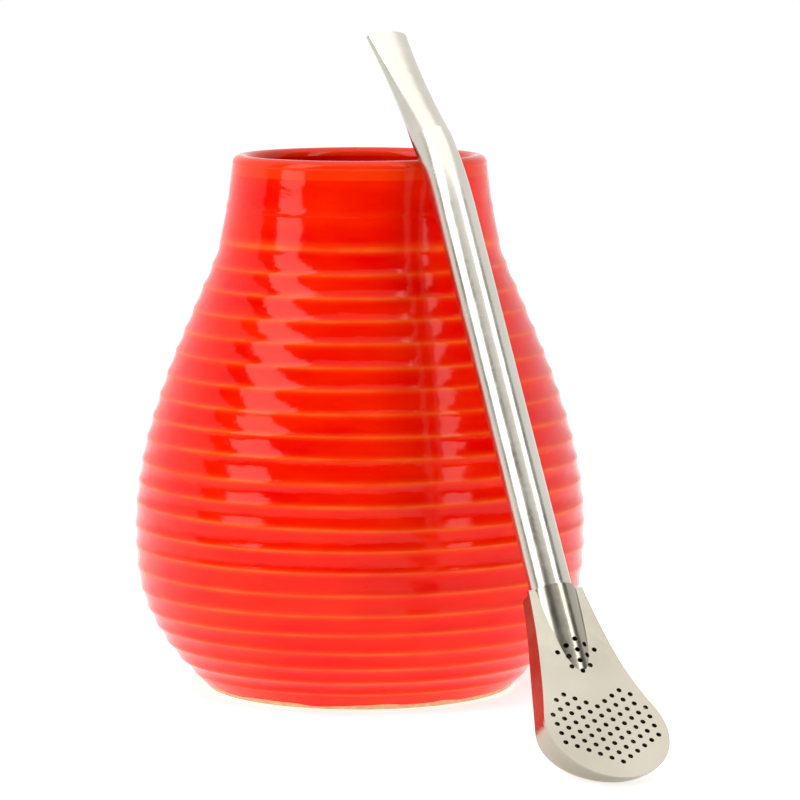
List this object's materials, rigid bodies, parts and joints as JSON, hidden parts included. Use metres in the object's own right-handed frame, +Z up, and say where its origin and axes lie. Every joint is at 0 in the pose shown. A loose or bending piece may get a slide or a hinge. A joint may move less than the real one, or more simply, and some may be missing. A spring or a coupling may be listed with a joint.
{
  "type": "ceramic mate cup with metal straw",
  "caption": "Empty ribbed gourd-shaped ceramic cup with a steel drinking straw leaning on its rim, its pierced spoon filter standing on the surface in front",
  "frame": {"origin": "middle of the cup's foot, on the surface that the cup stands on", "axes": "+Z is up along the cup's axis, +X is to the right and -Y is to the front, where the straw's filter stands"},
  "size_m": [0.1052, 0.1558, 0.1352],
  "materials": {
    "glaze": "glossy red-orange glaze, lighter orange on the ribs, bare foot",
    "steel": "polished stainless steel"
  },
  "bodies": {
    "root": {"cup": "glaze", "straw_tube": "steel", "filter_front": "steel", "filter_back": "steel"}
  },
  "joints": []
}
